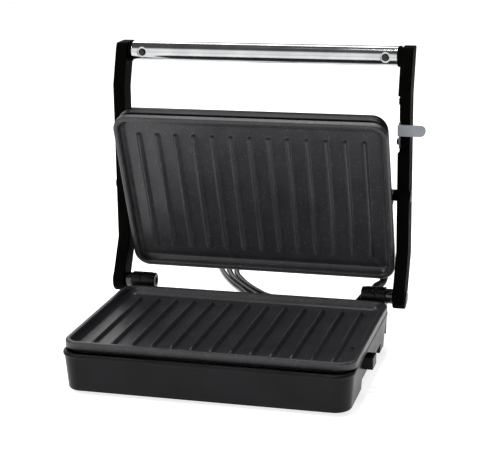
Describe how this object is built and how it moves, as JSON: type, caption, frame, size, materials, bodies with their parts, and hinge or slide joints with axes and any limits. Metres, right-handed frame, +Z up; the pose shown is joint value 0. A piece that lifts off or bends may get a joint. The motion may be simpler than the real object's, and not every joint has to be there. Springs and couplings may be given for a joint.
{
  "type": "panini press",
  "caption": "Open electric contact grill with ribbed non-stick plates, a floating upper plate between hinged arms, a chrome bar handle and a folded mains cord.",
  "frame": {"origin": "middle of the footprint of the open press, without its cord, on the table under the feet", "axes": "+X to the right across the plates, towards the lock lever; +Y to the back, towards the hinges and the cord; +Z up; the press is stored open"},
  "size_m": [0.2888, 0.4524, 0.2634],
  "materials": {
    "black_shell": "satin moulded",
    "gloss_black": "gloss moulded",
    "non_stick": "satin non-stick coating on cast aluminium",
    "chrome": "polished",
    "steel": "plain steel",
    "dark_steel": "blackened steel",
    "grey_lever": "satin moulded",
    "rubber": "matt",
    "cord_black": "satin PVC",
    "aluminium": "mill sheet",
    "brass": "plain",
    "ceramic": "unglazed"
  },
  "bodies": {
    "base": {"base_cover": "black_shell", "base_housing": "black_shell", "cord_relief": "rubber", "cover_screw_1": "steel", "cover_screw_2": "steel", "cover_screw_3": "steel", "cover_screw_4": "steel", "foot_1": "rubber", "foot_2": "rubber", "foot_3": "rubber", "foot_4": "rubber", "grease_spout": "black_shell", "hinge_bracket_left": "gloss_black", "hinge_bracket_right": "gloss_black", "lower_grill_plate": "non_stick", "lower_heat_shield": "aluminium", "lower_heating_element": "steel", "lower_thermostat": "ceramic", "mains_cord": "cord_black", "plug_body": "cord_black", "plug_pin_left": "brass", "plug_pin_right": "brass", "terminal_block": "ceramic"},
    "arms": {"arm_left": "gloss_black", "arm_right": "gloss_black", "handle_collar_left": "gloss_black", "handle_collar_right": "gloss_black", "handle_screw_left": "dark_steel", "handle_screw_right": "dark_steel", "handle_tube": "chrome", "hinge_collar_left": "gloss_black", "hinge_collar_right": "gloss_black", "hinge_shaft_left": "dark_steel", "hinge_shaft_right": "dark_steel", "hinge_spacer_left": "gloss_black", "hinge_spacer_right": "gloss_black", "wiring_sleeve": "rubber"},
    "upper": {"pivot_bush_left": "gloss_black", "pivot_bush_right": "gloss_black", "pivot_stud_left": "dark_steel", "pivot_stud_right": "dark_steel", "upper_grill_plate": "non_stick", "upper_heat_shield": "aluminium", "upper_heating_element": "steel", "upper_housing": "black_shell", "upper_thermostat": "ceramic"},
    "lock": {"lock_slider": "grey_lever", "lock_screw": "dark_steel"}
  },
  "joints": [
    {"name": "arms_hinge", "type": "hinge", "parent": "base", "child": "arms", "pos_m": [-0.00615, 0.06698, 0.0445], "axis": [1, 0, 0], "range_deg": [0, 87]},
    {"name": "upper_tilt", "type": "hinge", "parent": "arms", "child": "upper", "pos_m": [-0.00615, 0.08497, 0.133], "axis": [1, 0, 0], "range_deg": [-16, 0], "deforming": ["wiring_sleeve"]},
    {"name": "lock_slide", "type": "slide", "parent": "arms", "child": "lock", "axis": [0, 0, 1], "range_m": [-0.004, 0.014]}
  ],
  "couplings": [
    {"joint": "upper_tilt", "follows": "arms_hinge", "ratio": -0.18391}
  ]
}
